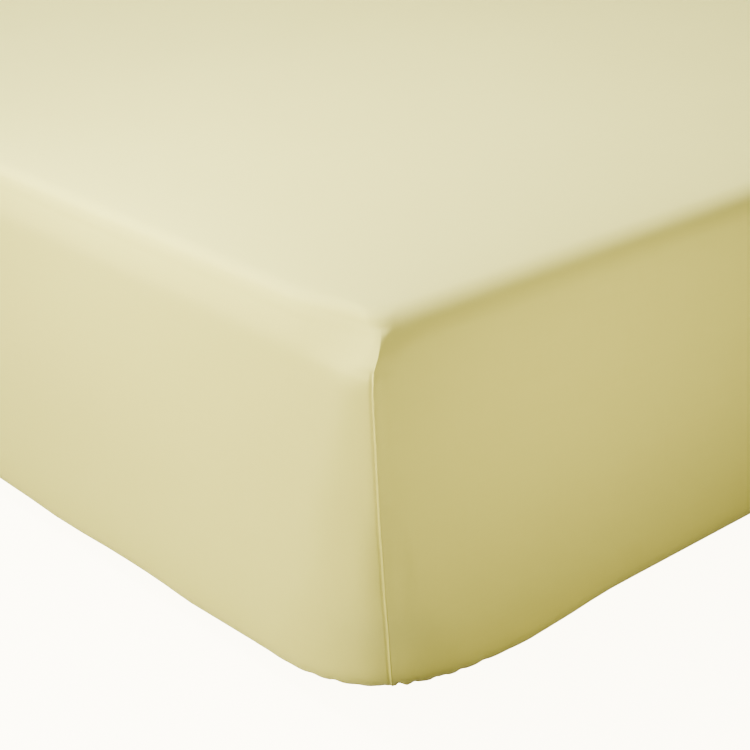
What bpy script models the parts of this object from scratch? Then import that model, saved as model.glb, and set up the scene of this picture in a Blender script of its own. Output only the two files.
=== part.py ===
"""A fitted sheet stretched over a deep single mattress.

Metres, +Z up. The origin is the middle of the underside. X runs across the mattress and
Y along it, with the foot at -Y. The sheet is one shell of cloth: a top panel, a rolled top
edge, four sides that meet at sewn corners, and a border that the hem draws in underneath.
Every ring of the shell follows one section (how far in and how high) and one corner form
(how each side turns in towards the seam).
"""

import math
from collections import namedtuple

import bmesh
import bpy
import numpy as np

# The mattress, as bought: a single
MATTRESS_WIDTH = 0.900
MATTRESS_LENGTH = 1.900
MATTRESS_DEPTH = 0.280
MATTRESS_LIFT = 0.0045  # its underside above the surface, over the gathered hem
MATTRESS_EDGE_RADIUS = 0.028
MATTRESS_UNDER_RADIUS = 0.042

# The cloth
CLOTH = 0.0015  # thickness
GAP = 0.0003  # between the cloth and the mattress where they touch
CROWN = 0.004  # how far the middle of the top stands above its rim
CROWN_REACH = 0.330  # from the rim in to where the crown is level
EDGE_RADIUS = 0.022  # the roll of the top edge
UNDER_RADIUS = 0.032  # the turn under the mattress
SIDE_TUCK = 0.0020  # how far the sides lie inside the top roll
TUCK_REACH = 0.030
HEM_INSET = 0.100  # from the outline to the hem, underneath

# The corner seams
SEAM_START = 0.044  # down the cloth from the rim of the top
SEAM_FADE = 0.004
SEAM_HALF_WIDTH = 0.0013
SEAM_HEIGHT = 0.0007
SEAM_GROOVE = 0.0003  # beside the seam, on the end panel

# Gathers
GATHER_START_HEIGHT = 0.040
GATHER_DEPTH = 0.0024  # of a full gather, at the hem

# Derived sizes
HALF_WIDTH = MATTRESS_WIDTH / 2 + GAP + CLOTH + SIDE_TUCK
HALF_LENGTH = MATTRESS_LENGTH / 2 + GAP + CLOTH + SIDE_TUCK
HEIGHT = MATTRESS_LIFT + MATTRESS_DEPTH + GAP + CLOTH
RIM_HEIGHT = HEIGHT - CROWN
QUARTER_TURN = math.pi / 2

# Places along the section, measured down the cloth from the rim of the top
ROLL_END = EDGE_RADIUS * QUARTER_TURN
TURN_START = ROLL_END + RIM_HEIGHT - EDGE_RADIUS - UNDER_RADIUS
TURN_END = TURN_START + UNDER_RADIUS * QUARTER_TURN
HEM = TURN_END + HEM_INSET - SIDE_TUCK - UNDER_RADIUS
LOWEST_SEEN = TURN_START + UNDER_RADIUS * math.radians(58)

# Where the seam begins to stand up, is full, and is pressed flat again underneath
SEAM_SPAN = (SEAM_START, SEAM_START + SEAM_FADE, LOWEST_SEEN, TURN_END - 0.004)

# How each panel turns in towards a seam, for places down the cloth. A panel's end is an arc
# of this radius that leans in by this angle at the seam; what is left of 90 is the crease.
CornerForm = namedtuple("CornerForm", "down end_radius end_lean side_radius side_lean")
CORNER_FORMS = (
    CornerForm(0.0, 0.010, 45, 0.010, 45),
    CornerForm(0.5 * ROLL_END, 0.022, 45, 0.020, 45),
    CornerForm(0.85 * ROLL_END, 0.036, 38, 0.016, 26),
    CornerForm(SEAM_START, 0.085, 20, 0.018, 7),
    CornerForm(0.100, 0.088, 23, 0.030, 10),
    CornerForm(0.150, 0.090, 30, 0.050, 19),
    CornerForm(0.200, 0.088, 36, 0.075, 22),
    CornerForm(TURN_START - 0.012, 0.086, 49, 0.086, 35),
    CornerForm(LOWEST_SEEN, 0.082, 53, 0.082, 37),
    CornerForm(HEM, 0.056, 53, 0.056, 37),
)

# Gathers of the hem beside each corner seam: where, and how deep against a full one
Gather = namedtuple("Gather", "from_seam depth")
END_GATHERS = (
    Gather(0.009, 0.8),
    Gather(0.023, 1.0),
    Gather(0.039, 0.7),
    Gather(0.056, 0.9),
    Gather(0.076, 0.6),
    Gather(0.098, 0.4),
)
SIDE_GATHERS = (
    Gather(0.006, 1.0),
    Gather(0.018, 0.8),
    Gather(0.034, 1.0),
    Gather(0.052, 0.7),
    Gather(0.071, 0.8),
    Gather(0.094, 0.4),
)

# Each corner: which way it is mirrored, and how strongly it is gathered
Corner = namedtuple("Corner", "flip_x flip_y gathering")
CORNERS = (
    Corner(1, 1, 1.0),
    Corner(1, -1, 0.85),
    Corner(-1, -1, 0.95),
    Corner(-1, 1, 0.9),
)

# Soft swells of the side panels, from the middle of a side and down the cloth
Swell = namedtuple("Swell", "panel along half_along down half_down rise")
SWELLS = (
    Swell("foot", 0.10, 0.22, 0.15, 0.11, 0.0014),
    Swell("foot", -0.22, 0.18, 0.12, 0.09, 0.0011),
    Swell("foot", 0.09, 0.08, TURN_START + 0.024, 0.024, 0.0016),
    Swell("foot", 0.26, 0.06, TURN_START + 0.024, 0.024, 0.0014),
    Swell("right", -0.80, 0.10, TURN_START + 0.024, 0.024, 0.0042),
    Swell("right", -0.70, 0.20, 0.16, 0.11, 0.0014),
    Swell("right", -0.30, 0.26, 0.14, 0.10, 0.0010),
    Swell("right", 0.35, 0.34, 0.16, 0.11, 0.0013),
    Swell("head", 0.00, 0.30, 0.15, 0.11, 0.0013),
    Swell("left", 0.45, 0.32, 0.15, 0.11, 0.0012),
    Swell("left", -0.35, 0.36, 0.14, 0.10, 0.0014),
)

# Rings of the shell, down the cloth
RINGS = (
    -CROWN_REACH,
    -0.35 * CROWN_REACH,
    0.0,
    0.33 * ROLL_END,
    0.67 * ROLL_END,
    ROLL_END,
    SEAM_START,
    SEAM_START + SEAM_FADE,
    ROLL_END + TUCK_REACH,
    0.110,
    0.190,
    TURN_START - 0.012,
    TURN_START + 0.012,
    LOWEST_SEEN,
    TURN_END,
    0.5 * (TURN_END + HEM),
    HEM,
)

# Upright mesh lines along the plain part of each side, from the sharp corner
PLAIN_START = 0.200
END_LINES = (PLAIN_START, 0.320, HALF_WIDTH)
SIDE_LINES = (PLAIN_START, 0.400, 0.650, HALF_LENGTH)

# Mattress rings and corner points
MATTRESS_CORNER_POINTS = 7
ROLL_STEPS = 3

CLOTH_COLOR = (0.74, 0.69, 0.45, 1.0)
TICKING_COLOR = (0.80, 0.79, 0.75, 1.0)


def ease(t):
    """0 to 1, level at both ends."""
    t = np.clip(t, 0.0, 1.0)
    return t * t * (3.0 - 2.0 * t)


def hump(t):
    """1 at 0, falling smoothly to 0 at -1 and 1."""
    return np.cos(0.5 * math.pi * np.clip(t, -1.0, 1.0)) ** 2


def crown_height(inset):
    """Height of the top panel, this far in from the outline."""
    return RIM_HEIGHT + CROWN * ease((inset - EDGE_RADIUS) / CROWN_REACH)


def section(down):
    """How far in from the outline, and how high, the cloth lies at this place."""
    if down <= 0.0:
        inset = EDGE_RADIUS - down
        return inset, crown_height(inset)
    if down <= ROLL_END:
        angle = down / EDGE_RADIUS
        return EDGE_RADIUS * (1 - math.sin(angle)), RIM_HEIGHT - EDGE_RADIUS * (1 - math.cos(angle))
    if down <= TURN_START:
        side = down - ROLL_END
        return SIDE_TUCK * ease(side / TUCK_REACH), RIM_HEIGHT - EDGE_RADIUS - side
    if down <= TURN_END:
        angle = (down - TURN_START) / UNDER_RADIUS
        return SIDE_TUCK + UNDER_RADIUS * (1 - math.cos(angle)), UNDER_RADIUS * (1 - math.sin(angle))
    return SIDE_TUCK + UNDER_RADIUS + down - TURN_END, 0.0


def section_normal(down):
    """The outward and upward parts of the section's normal."""
    step = 1e-5
    before = section(down - step)
    after = section(down + step)
    outward, upward = before[1] - after[1], after[0] - before[0]
    length = math.hypot(outward, upward)
    return outward / length, -upward / length


def corner_form(down):
    """The corner's arcs at this place, between the rows of CORNER_FORMS."""
    places = [row.down for row in CORNER_FORMS]
    read = [np.interp(down, places, column) for column in list(zip(*CORNER_FORMS))[1:]]
    end_radius, end_lean, side_radius, side_lean = read
    return end_radius, math.radians(end_lean), side_radius, math.radians(side_lean)


def seam_inset(radius, lean):
    """How far a panel's end lies inside its own plane at the seam."""
    return radius * (1 - math.cos(lean))


def distance_at(corner_distance, inset, radius, lean, other_inset):
    """Distance from the seam, along a ring, of a point on the plain part of a side."""
    return corner_distance - inset - other_inset - radius * math.sin(lean) + radius * lean


def gather_stations(gathers):
    """Distances from the seam of each gather's bottom and of the crests between."""
    places = [row.from_seam for row in gathers]
    crests = [0.5 * (a + b) for a, b in zip(places, places[1:])]
    last = 2 * places[-1] - crests[-1]
    return sorted([SEAM_HALF_WIDTH, *places, *crests, last])


def half_stations(down, panel):
    """Distances from the seam of a ring's mesh lines, on the end or the side panel."""
    end_radius, end_lean, side_radius, side_lean = corner_form(down)
    rim = corner_form(LOWEST_SEEN)
    if panel == "end":
        radius, lean, other = end_radius, end_lean, seam_inset(side_radius, side_lean)
        rim_radius, rim_lean, rim_other = rim[0], rim[1], seam_inset(rim[2], rim[3])
        near, plain = gather_stations(END_GATHERS), END_LINES
    else:
        radius, lean, other = side_radius, side_lean, seam_inset(end_radius, end_lean)
        rim_radius, rim_lean, rim_other = rim[2], rim[3], seam_inset(rim[0], rim[1])
        near, plain = gather_stations(SIDE_GATHERS), SIDE_LINES
    inset = section(down)[0]
    rim_turn = rim_radius * rim_lean
    turn = radius * lean if down > LOWEST_SEEN else rim_turn
    rim_plain = distance_at(PLAIN_START, section(LOWEST_SEEN)[0], rim_radius, rim_lean, rim_other)
    plain_start = distance_at(PLAIN_START, inset, radius, lean, other)
    moved = np.interp(near, [0.0, rim_turn, rim_plain], [0.0, turn, plain_start])
    straight = [distance_at(line, inset, radius, lean, other) for line in plain]
    return np.array([*moved, *straight]), np.array([*near, *[1.0] * len(plain)])


def quarter_ring(down):
    """One corner's share of a ring, from the middle of the end to the middle of the side.

    Rows are x, y, the outward normal's x and y, the distance from the seam at the rim
    (negative on the end panel), and the offset's stretch where the normal splits the crease.
    A ring of the top panel is its rim made smaller.
    """
    if down < 0.0:
        inset = section(down)[0]
        rows = quarter_ring(0.0)
        rows[:, 0] *= (HALF_WIDTH - inset) / (HALF_WIDTH - EDGE_RADIUS)
        rows[:, 1] *= (HALF_LENGTH - inset) / (HALF_LENGTH - EDGE_RADIUS)
        return rows
    end_radius, end_lean, side_radius, side_lean = corner_form(down)
    inset = section(down)[0]
    end_in = seam_inset(end_radius, end_lean)
    side_in = seam_inset(side_radius, side_lean)
    seam_x, seam_y = HALF_WIDTH - inset - side_in, -HALF_LENGTH + inset + end_in
    rows = []
    distances, nominal = half_stations(down, "end")
    for distance, from_seam in zip(distances[::-1], nominal[::-1]):
        heading = max(0.0, end_lean - distance / end_radius)
        past = max(0.0, distance - end_radius * end_lean)
        along = end_radius * (math.sin(end_lean) - math.sin(heading)) + past
        y = -HALF_LENGTH + inset + seam_inset(end_radius, heading)
        rows.append((seam_x - along, y, math.sin(heading), -math.cos(heading), -from_seam, 1.0))
    crease = QUARTER_TURN - end_lean - side_lean
    split = end_lean + crease / 2
    stretch = 1 / math.cos(crease / 2)
    rows.append((seam_x, seam_y, math.sin(split), -math.cos(split), 0.0, stretch))
    distances, nominal = half_stations(down, "side")
    for distance, from_seam in zip(distances, nominal):
        heading = max(0.0, side_lean - distance / side_radius)
        past = max(0.0, distance - side_radius * side_lean)
        along = side_radius * (math.sin(side_lean) - math.sin(heading)) + past
        x = HALF_WIDTH - inset - seam_inset(side_radius, heading)
        rows.append((x, seam_y + along, math.cos(heading), -math.sin(heading), from_seam, 1.0))
    return np.array(rows)


def gather_rise(from_seam, down):
    """How far the gathered hem pushes the cloth in, by distance from the seam."""
    start = TURN_START + UNDER_RADIUS - GATHER_START_HEIGHT
    growth = ease((down - start) / (HEM - start))
    gathers = END_GATHERS if from_seam < 0 else SIDE_GATHERS
    depth = 0.0
    places = [row.from_seam for row in gathers]
    for row in gathers:
        apart = min(abs(row.from_seam - other) for other in places if other != row.from_seam)
        depth += row.depth * hump((abs(from_seam) - row.from_seam) / (0.5 * apart))
    return GATHER_DEPTH * growth * min(depth, 1.0)


def seam_rise(from_seam, down):
    """The sewn ridge at the corner, with a fine groove beside it on the end panel."""
    strength = float(np.interp(down, SEAM_SPAN, (0.0, 1.0, 1.0, 0.0)))
    ridge = SEAM_HEIGHT * max(0.0, 1 - abs(from_seam) / SEAM_HALF_WIDTH)
    beside = (from_seam + SEAM_HALF_WIDTH) / (0.5 * SEAM_HALF_WIDTH)
    return strength * (ridge - SEAM_GROOVE * hump(beside))


def swell_rise(panel, along, down):
    """Soft swell of a side panel."""
    total = 0.0
    for row in SWELLS:
        if row.panel == panel:
            across = hump((along - row.along) / row.half_along)
            total += row.rise * across * hump((down - row.down) / row.half_down)
    return total


def ring(down):
    """A whole ring of the shell: its outer and inner points, counter-clockwise."""
    outward, upward = section_normal(down)
    height = section(down)[1]
    outer, inner = [], []
    quarter = quarter_ring(down)
    for corner in CORNERS:
        mirrored = corner.flip_x * corner.flip_y < 0
        rows = quarter[::-1] if mirrored else quarter
        for x, y, normal_x, normal_y, from_seam, stretch in rows[:-1]:
            place = np.array([x * corner.flip_x, y * corner.flip_y, height])
            normal = np.array(
                [normal_x * corner.flip_x * outward, normal_y * corner.flip_y * outward, upward]
            )
            if from_seam < 0:
                panel, along = ("foot" if corner.flip_y > 0 else "head"), place[0]
            else:
                panel, along = ("right" if corner.flip_x > 0 else "left"), place[1]
            rise = swell_rise(panel, along, down)
            rise -= corner.gathering * gather_rise(from_seam, down)
            middle = place + normal * rise
            outer.append(middle + normal * seam_rise(from_seam, down))
            inner.append(middle - normal * CLOTH * (1 + (stretch - 1) * outward))
    return outer, inner


def mattress_ring(inset, height, radius):
    """A ring of the mattress: its outline drawn in by inset, with round corners."""
    half_x, half_y = MATTRESS_WIDTH / 2 - inset, MATTRESS_LENGTH / 2 - inset
    points = []
    for start, (sign_x, sign_y) in enumerate(((1, 1), (-1, 1), (-1, -1), (1, -1))):
        for step in range(MATTRESS_CORNER_POINTS):
            angle = (start + step / (MATTRESS_CORNER_POINTS - 1)) * QUARTER_TURN
            x = sign_x * (half_x - radius) + radius * math.cos(angle)
            y = sign_y * (half_y - radius) + radius * math.sin(angle)
            points.append((x, y, height))
    return points


def mattress_rings():
    """Rings from the mattress's top to its underside, inside the cloth all the way."""
    to_outline = HALF_WIDTH - MATTRESS_WIDTH / 2
    below_cloth = CLOTH + GAP
    edge, under = MATTRESS_EDGE_RADIUS, MATTRESS_UNDER_RADIUS
    rings = []
    for share in (1.0, 0.35):
        inset = EDGE_RADIUS + share * CROWN_REACH - to_outline
        rings.append((inset, crown_height(inset + to_outline) - below_cloth, 0.020))
    top = RIM_HEIGHT - below_cloth
    for step in range(ROLL_STEPS + 1):
        angle = step / ROLL_STEPS * QUARTER_TURN
        drawn_in, drop = edge * (1 - math.sin(angle)), edge * (1 - math.cos(angle))
        rings.append((drawn_in, top - drop, 0.020 + 0.022 * math.sin(angle)))
    rings.append((0.0, 0.150, 0.060))
    rings.append((0.0, 0.085, 0.100))
    for step in range(ROLL_STEPS + 1):
        angle = step / ROLL_STEPS * QUARTER_TURN
        drawn_in, rise = under * (1 - math.cos(angle)), under * (1 - math.sin(angle))
        rings.append((drawn_in, MATTRESS_LIFT + rise, 0.118 - 0.3 * drawn_in))
    return [mattress_ring(*row) for row in rings]


def material(name, color, roughness):
    """A plain cloth material."""
    made = bpy.data.materials.new(name)
    made.use_nodes = True
    shader = made.node_tree.nodes["Principled BSDF"]
    shader.inputs["Base Color"].default_value = color
    shader.inputs["Roughness"].default_value = roughness
    shader.inputs["Metallic"].default_value = 0.0
    made.diffuse_color = color
    return made


def add_band(mesh, upper, lower, outward):
    """Quads between two rings of vertices, facing out or in."""
    count = len(upper)
    for i in range(count):
        j = (i + 1) % count
        corners = (upper[i], lower[i], lower[j], upper[j])
        mesh.faces.new(corners if outward else corners[::-1])


def finished(mesh, name, color, roughness):
    """Turns a bmesh into an object with its own material."""
    data = bpy.data.meshes.new(name)
    mesh.to_mesh(data)
    mesh.free()
    data.materials.append(material(name, color, roughness))
    data.shade_smooth()
    data.set_sharp_from_angle(angle=math.radians(40))
    made = bpy.data.objects.new(name, data)
    bpy.context.scene.collection.objects.link(made)
    return made


def make_sheet():
    """The fitted sheet: an outer and an inner skin, joined at the hem."""
    mesh = bmesh.new()
    skins = ([], [])
    for down in RINGS:
        for skin, points in zip(skins, ring(down)):
            skin.append([mesh.verts.new(point) for point in points])
    for skin, faces_out in zip(skins, (True, False)):
        for upper, lower in zip(skin, skin[1:]):
            add_band(mesh, upper, lower, faces_out)
        mesh.faces.new(skin[0] if faces_out else skin[0][::-1])
    add_band(mesh, skins[0][-1], skins[1][-1], True)
    return finished(mesh, "fitted_sheet", CLOTH_COLOR, 0.85)


def make_mattress():
    """The mattress: a plain rounded block with a slightly crowned top."""
    mesh = bmesh.new()
    rings = [[mesh.verts.new(point) for point in points] for points in mattress_rings()]
    for upper, lower in zip(rings, rings[1:]):
        add_band(mesh, upper, lower, True)
    mesh.faces.new(rings[0])
    mesh.faces.new(rings[-1][::-1])
    return finished(mesh, "mattress", TICKING_COLOR, 0.9)


def clear_scene():
    for old in list(bpy.data.objects):
        bpy.data.objects.remove(old, do_unlink=True)


clear_scene()
make_sheet()
make_mattress()
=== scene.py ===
"""A fitted sheet on a deep single mattress: the finished cloth, its seams and its light.

Metres, +Z up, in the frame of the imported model. X runs across the mattress and Y along it,
with the foot at -Y. The sheet is one shell of cloth whose rings follow a section (how far in
and how high) and a corner form (how each side turns in towards its seam). The mattress and
the stitches are made by Geometry Nodes.
"""

import math
from collections import namedtuple

import bmesh
import bpy
import numpy as np
from bpy.props import FloatProperty, FloatVectorProperty, PointerProperty
from bpy.types import Operator, Panel, PropertyGroup
from mathutils import Euler, Matrix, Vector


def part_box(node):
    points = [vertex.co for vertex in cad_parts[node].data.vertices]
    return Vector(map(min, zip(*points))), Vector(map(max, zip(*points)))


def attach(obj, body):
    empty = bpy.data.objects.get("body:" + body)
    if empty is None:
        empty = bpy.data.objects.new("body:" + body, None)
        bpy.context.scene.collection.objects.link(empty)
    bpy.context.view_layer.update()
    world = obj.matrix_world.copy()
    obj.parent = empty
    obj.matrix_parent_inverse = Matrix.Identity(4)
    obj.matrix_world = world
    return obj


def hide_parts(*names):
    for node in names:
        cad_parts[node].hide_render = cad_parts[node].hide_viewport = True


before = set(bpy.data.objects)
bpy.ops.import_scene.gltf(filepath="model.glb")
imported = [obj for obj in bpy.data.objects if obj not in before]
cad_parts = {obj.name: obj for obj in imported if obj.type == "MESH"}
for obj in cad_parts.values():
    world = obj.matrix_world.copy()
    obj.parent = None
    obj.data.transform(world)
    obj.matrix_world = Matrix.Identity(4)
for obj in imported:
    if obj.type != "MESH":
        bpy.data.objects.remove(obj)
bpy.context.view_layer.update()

bl_info = {
    "name": "Fitted Sheet",
    "version": (1, 0, 0),
    "blender": (4, 5, 0),
    "location": "3D View > Sidebar > Fitted Sheet",
    "description": "Makes a fitted sheet stretched over a single mattress",
    "category": "Object",
}

HALF_WIDTH, HALF_LENGTH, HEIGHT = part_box("fitted_sheet")[1]
MATTRESS_LOW, MATTRESS_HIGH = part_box("mattress")


def make_rows(kind, *rows):
    """A table whose rows are all of one kind."""
    return tuple(kind(*row) for row in rows)


# The section of the cloth
CLOTH = 0.0015  # thickness of the solid cloth
CROWN = 0.004  # how far the middle of the top stands above its rim
CROWN_REACH = 0.330  # from the rim in to where the crown is level
SHOULDER = 0.0034  # the part of the crown that rises close to the rim
SHOULDER_REACH = 0.030
CROWN_END = 0.020  # the crown's last trace, down the cloth from the rim
EDGE_RADIUS = 0.022  # the roll of the top edge
UNDER_RADIUS = 0.032  # the turn under the mattress
SIDE_TUCK = 0.0020  # how far the sides lie inside the outline where they turn under
HEM_INSET = 0.100  # from the outline to the hem, underneath
RIM_HEIGHT = HEIGHT - CROWN
QUARTER_TURN = math.pi / 2

# Places along the section, measured down the cloth from the rim of the top
ROLL_END = EDGE_RADIUS * QUARTER_TURN
TURN_START = ROLL_END + RIM_HEIGHT - EDGE_RADIUS - UNDER_RADIUS
TURN_END = TURN_START + UNDER_RADIUS * QUARTER_TURN
HEM = TURN_END + HEM_INSET - SIDE_TUCK - UNDER_RADIUS
LOWEST_SEEN = TURN_START + UNDER_RADIUS * math.radians(58)  # in the photograph

# Places down the section, and how steeply the cloth runs there in degrees: 0 is level, 90
# upright and 180 level again underneath. The sides swell a little above the turn.
HEADINGS = (
    (0, 6.5), (0.026, 74), (0.033, 84), (0.045, 87.5), (0.080, 89.2), (0.130, 90),
    (0.200, 91), (0.240, 92.5), (TURN_START, 96),
    (TURN_START + 0.5 * UNDER_RADIUS * QUARTER_TURN, 135), (TURN_END, 180), (HEM, 180),
)

# The corner seams: a fine ridge, a groove on the end panel, the seam allowance under the side
SEAM_START = 0.0385  # down the cloth from the rim of the top
SEAM_FADE = 0.0025
SEAM_SPAN = (SEAM_START, SEAM_START + SEAM_FADE, LOWEST_SEEN, TURN_END - 0.004)
SEAM_HALF_WIDTH = 0.0009
SEAM_HEIGHT = 0.0006
GROOVE_PLACE = 0.0017
GROOVE_HALF_WIDTH = 0.0012
GROOVE_DEPTH = 0.00028
ALLOWANCE_START = 0.0009  # where it reaches its full height, beside the ridge
ALLOWANCE_WIDTH = 0.0042
ALLOWANCE_EDGE = 0.0066
ALLOWANCE_RISE = 0.0005
ALLOWANCE_FADE = (0.070, 0.150)  # where it sinks into the side, down the cloth
ALLOWANCE_SHARES = (1.0, 0.5)  # how much of it shows above and below that
KNOT_PLACE = 0.0472  # where the seam's stitching starts, with a small knot
KNOT_HALF_LENGTH = 0.0022
KNOT_RISE = 0.9  # how much higher the ridge is there, as a share
SEAM_STITCH_LIFT = 0.00005  # off the groove

# The hem, turned up twice around its elastic
HEM_FOLD = 0.018
HEM_FOLD_RISE = 0.0014
HEM_FOLD_EDGE = 0.003
HEM_STITCHES = HEM - HEM_FOLD + 0.004
HEM_STITCH_LIFT = 0.0001  # up into the cloth
GATHER_START_HEIGHT = 0.040
GATHER_DEPTH = 0.0024

# How each panel turns in towards a seam, for places down the cloth. A panel's end is a curve
# of about this radius that leans in by this angle at the seam. With an easing of 1 it is an
# arc; with more, it turns faster near the seam and fades into the plain part.
CornerForm = namedtuple("CornerForm", "down end_radius end_lean side_radius side_lean easing")
CORNER_FORMS = make_rows(
    CornerForm,
    (0, 0.018, 45, 0.018, 45, 1),
    (0.010, 0.012, 44, 0.012, 44, 1),
    (0.016, 0.012, 42, 0.012, 42, 1),
    (0.020, 0.010, 36, 0.010, 30, 1),
    (0.024, 0.012, 27, 0.012, 18, 1),
    (0.028, 0.030, 16, 0.020, 8, 1),
    (0.036, 0.060, 12, 0.030, 5, 1),
    (0.0396, 0.075, 15, 0.030, 6, 1.1),
    (0.047, 0.068, 19, 0.020, 7, 1.3),
    (0.100, 0.090, 23, 0.030, 10, 1.5),
    (0.150, 0.092, 30, 0.050, 19, 1.5),
    (0.200, 0.088, 36, 0.075, 22, 1.5),
    (TURN_START - 0.012, 0.086, 49, 0.086, 35, 1.4),
    (LOWEST_SEEN, 0.082, 53, 0.082, 37, 1.3),
    (HEM, 0.056, 53, 0.056, 37, 1.2),
)

# Near the seams the cloth is also drawn in by a smooth step, and the end panel turns more
# sharply, by this angle over this distance, right beside the seam
CornerPull = namedtuple(
    "CornerPull", "down end_step side_step sharp_turn sharp_reach", defaults=(0, 0.005)
)
CORNER_PULLS = make_rows(
    CornerPull,
    (0, 0.0046, 0), (0.004, 0.0066, 0.0004), (0.008, 0.0086, 0.0010), (0.012, 0.0101, 0.0016),
    (0.016, 0.0107, 0.0020), (0.020, 0.0104, 0.0024), (0.024, 0.0094, 0.0025),
    (0.028, 0.0080, 0.0020), (0.032, 0.0064, 0.0014), (0.036, 0.0046, 0.0012, 4),
    (0.040, 0.0026, 0.0010, 12), (0.044, 0.0010, 0.0002, 18), (0.052, 0, 0, 22),
    (0.130, 0, 0.0012, 20, 0.008), (0.155, 0, 0.0028, 26, 0.014), (0.190, 0, 0.0032, 32, 0.019),
    (0.215, 0, 0.0012, 19, 0.020), (0.250, 0, 0, 10, 0.020), (HEM, 0, 0, 0, 0.012),
)
END_STEP_REACH = 0.072
SIDE_STEP_REACH = 0.022

# The end panels slope a little more than the sides where they leave the top edge: places
# down the cloth, and how much further in they lie
END_SLOPE = (
    (0, 0), (0.004, -0.0006), (0.008, -0.0008), (0.012, -0.0003), (0.016, 0.0008),
    (0.020, 0.0016), (0.024, 0.0021), (0.028, 0.0019), (0.032, 0.0014), (0.036, 0.0008),
    (0.040, 0.0003), (0.046, 0), (HEM, 0),
)

# Gathers of the hem beside each corner seam: where, and how deep against a full one
Gather = namedtuple("Gather", "from_seam depth")
GATHERS = {
    "end": make_rows(
        Gather, (0.009, 0.8), (0.023, 1), (0.039, 0.7), (0.056, 0.9), (0.076, 0.6), (0.098, 0.4)
    ),
    "side": make_rows(
        Gather, (0.006, 1), (0.018, 0.8), (0.034, 1), (0.052, 0.7), (0.071, 0.8), (0.094, 0.4)
    ),
}

# Small puckers of the lower edge beside each seam
Pucker = namedtuple("Pucker", "from_seam half_width depth")
PUCKERS = {
    "end": make_rows(
        Pucker, (0.005, 0.0040, 0.0005), (0.039, 0.0050, 0.0007), (0.056, 0.0060, 0.0003)
    ),
    "side": make_rows(
        Pucker,
        (0.0045, 0.0026, 0.0013), (0.0095, 0.0030, -0.0008), (0.015, 0.0034, 0.0009),
        (0.030, 0.0050, 0.0008), (0.037, 0.0044, 0.0006), (0.050, 0.0052, 0.0007),
        (0.070, 0.0060, 0.0004),
    ),
}
PUCKER_SPAN = (LOWEST_SEEN - 0.018, LOWEST_SEEN - 0.006, TURN_END - 0.010, TURN_END)

# Each corner: which way it is mirrored, and how strongly it is gathered
Corner = namedtuple("Corner", "flip_x flip_y gathering")
CORNERS = make_rows(Corner, (1, 1, 1), (1, -1, 0.85), (-1, -1, 0.95), (-1, 1, 0.9))

# Soft swells of the panels, from the middle of each and down the cloth. Panels are named by
# the axis that they face along and the side that they face.
PANEL_NAMES = {(1, -1): "foot", (1, 1): "head", (0, 1): "right", (0, -1): "left"}
Swell = namedtuple("Swell", "panel along half_along down half_down rise")
SWELLS = make_rows(
    Swell,
    ("foot", 0.10, 0.22, 0.15, 0.11, 0.0014),
    ("foot", -0.22, 0.18, 0.12, 0.09, 0.0011),
    ("foot", 0.09, 0.08, TURN_START + 0.024, 0.024, 0.0016),
    ("foot", 0.26, 0.06, TURN_START + 0.024, 0.024, 0.0014),
    ("right", -0.80, 0.10, TURN_START + 0.024, 0.024, 0.0042),
    ("right", -0.70, 0.20, 0.16, 0.11, 0.0014),
    ("right", -0.30, 0.26, 0.14, 0.10, 0.0010),
    ("right", 0.35, 0.34, 0.16, 0.11, 0.0013),
    ("head", 0.00, 0.30, 0.15, 0.11, 0.0013),
    ("left", 0.45, 0.32, 0.15, 0.11, 0.0012),
    ("left", -0.35, 0.36, 0.14, 0.10, 0.0014),
)

# Upright mesh lines of the plain part of each side start this far from the sharp corner
PLAIN_START = 0.200
END_LINE_COUNT = 9
SIDE_LINE_COUNT = 18
# Nearer the seam they are close together: as far as these distances from it
NEAR_SEAM_END = 0.0014
FINE_END = 0.010
GATHERED_END = 0.112
INNER_SKIP = 4  # the inner skin has every fourth ring
SECTION_SAMPLES = 1601
END_SAMPLES = 241
MERGE_WITHIN = 1e-6  # where the halves of the top meet
SHARP_ANGLE = math.radians(60)
WEAVE_MAP = "weave"

# The camera
CAMERA_PLACE = (1.1540, -1.5803, 0.6812)
CAMERA_PITCH, CAMERA_TURN, CAMERA_ROLL = map(math.radians, (24.403, 47.915, -0.358))
CAMERA_LENS = 86.14

# The lamps, all aimed at the photographed corner. Azimuth 0 is over the foot, 90 beside the
# right side and 180 behind the head end. Colours are settings of the stage.
LAMP_AIM = (0.1, -0.6, 0.15)
Lamp = namedtuple("Lamp", "name azimuth height distance width depth color")
LAMPS = make_rows(
    Lamp,
    ("key", -74, 57, 4.62, 0.40, 1.13, "high_color"),
    ("top", 11, 61, 0.70, 0.30, 1.22, "high_color"),
    ("front", 5, 8, 1.44, 0.77, 0.24, "low_color"),
    ("side", 77, 9, 0.70, 0.50, 0.20, "low_color"),
    ("back", 150, 5, 4.20, 2.00, 0.60, "low_color"),
)
FLOOR_HALF_SIZE = 30.0
FLOOR_HEIGHT = -0.0005
FLOOR_LIT = 0.12  # how much of the lamps' light the camera sees on the floor


# --- The form of the cloth ---


def ease(t):
    """0 to 1, level at both ends."""
    t = np.clip(t, 0.0, 1.0)
    return t * t * (3.0 - 2.0 * t)


def hump(t):
    """1 at 0, falling smoothly to 0 at -1 and 1."""
    return np.cos(0.5 * math.pi * np.clip(t, -1.0, 1.0)) ** 2


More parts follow.
